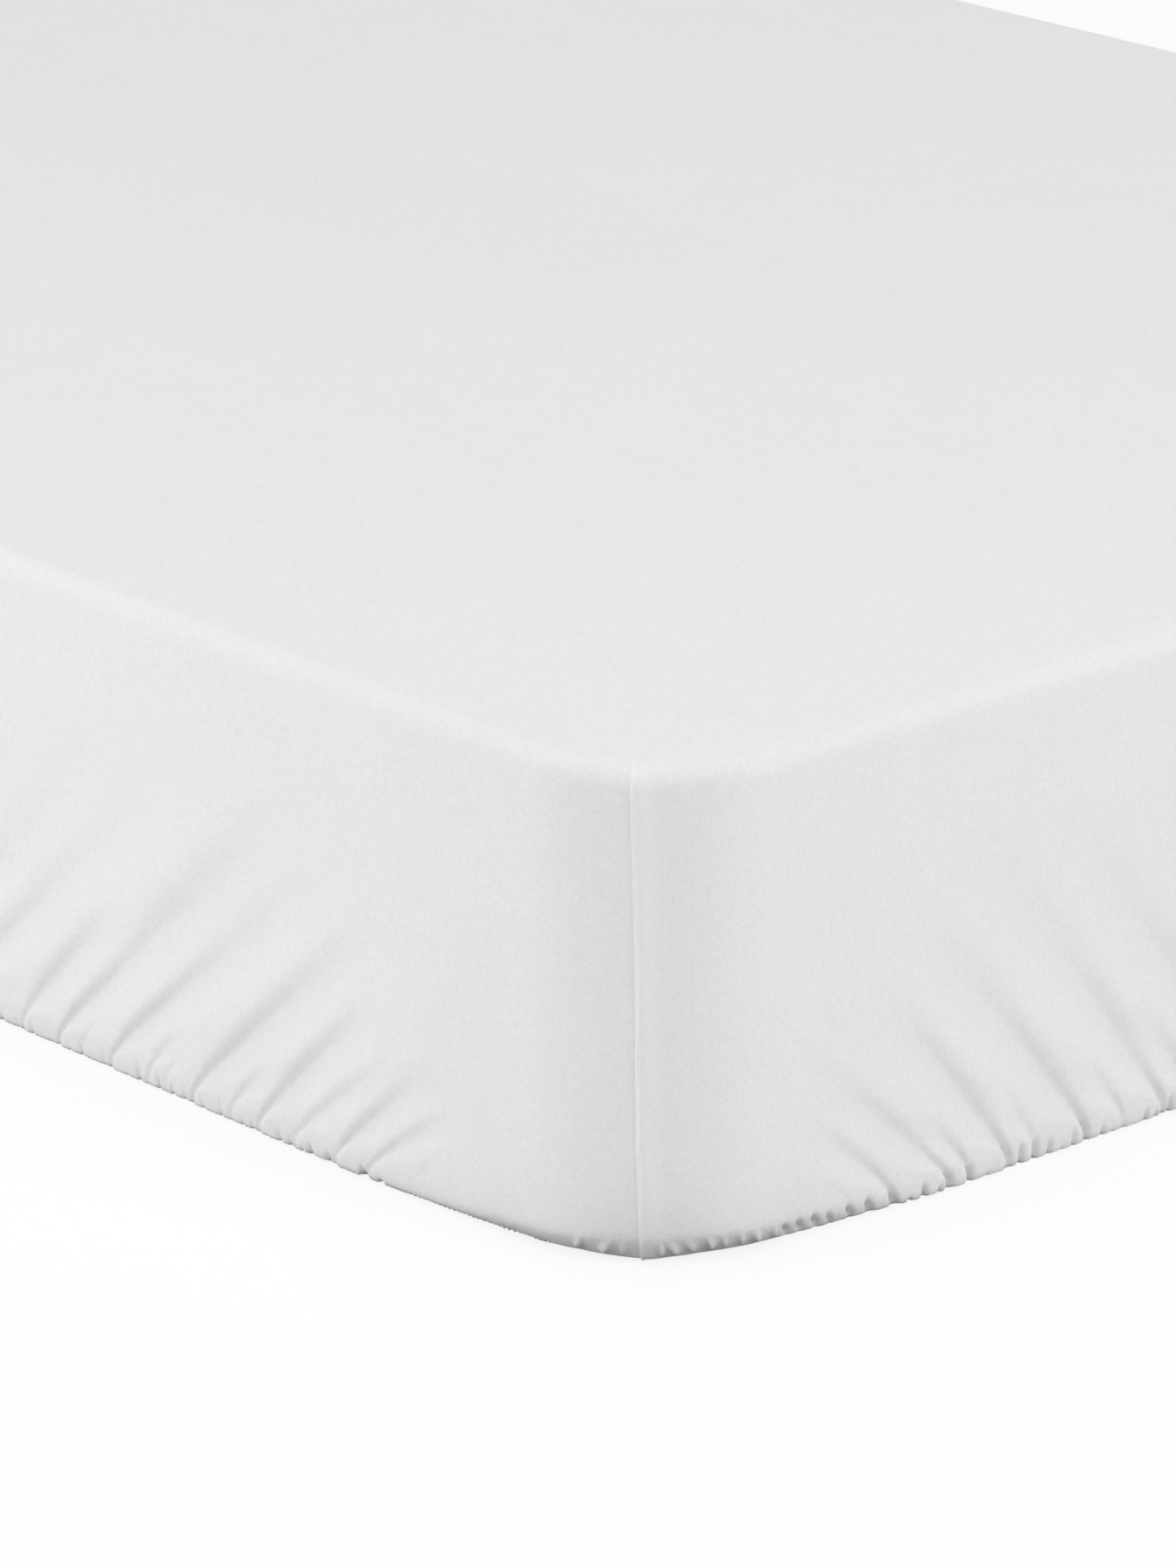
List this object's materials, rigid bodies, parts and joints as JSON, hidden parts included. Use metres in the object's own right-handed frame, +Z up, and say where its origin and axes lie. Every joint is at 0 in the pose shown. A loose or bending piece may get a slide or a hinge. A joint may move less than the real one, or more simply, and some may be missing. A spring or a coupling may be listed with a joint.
{
  "type": "crib mattress with fitted mattress protector",
  "caption": "Plain white knitted protector with a gathered elastic hem, stretched over a foam crib mattress.",
  "frame": {"origin": "middle of the mattress's underside, on the surface it rests on", "axes": "+X along the long side, +Y along the short side, +Z up"},
  "size_m": [1.3211, 0.7103, 0.142],
  "materials": {
    "mattress_ticking": "matte woven ticking",
    "protector_knit": "matte fine white knit"
  },
  "bodies": {
    "root": {"mattress": "mattress_ticking", "protector": "protector_knit"}
  },
  "joints": []
}
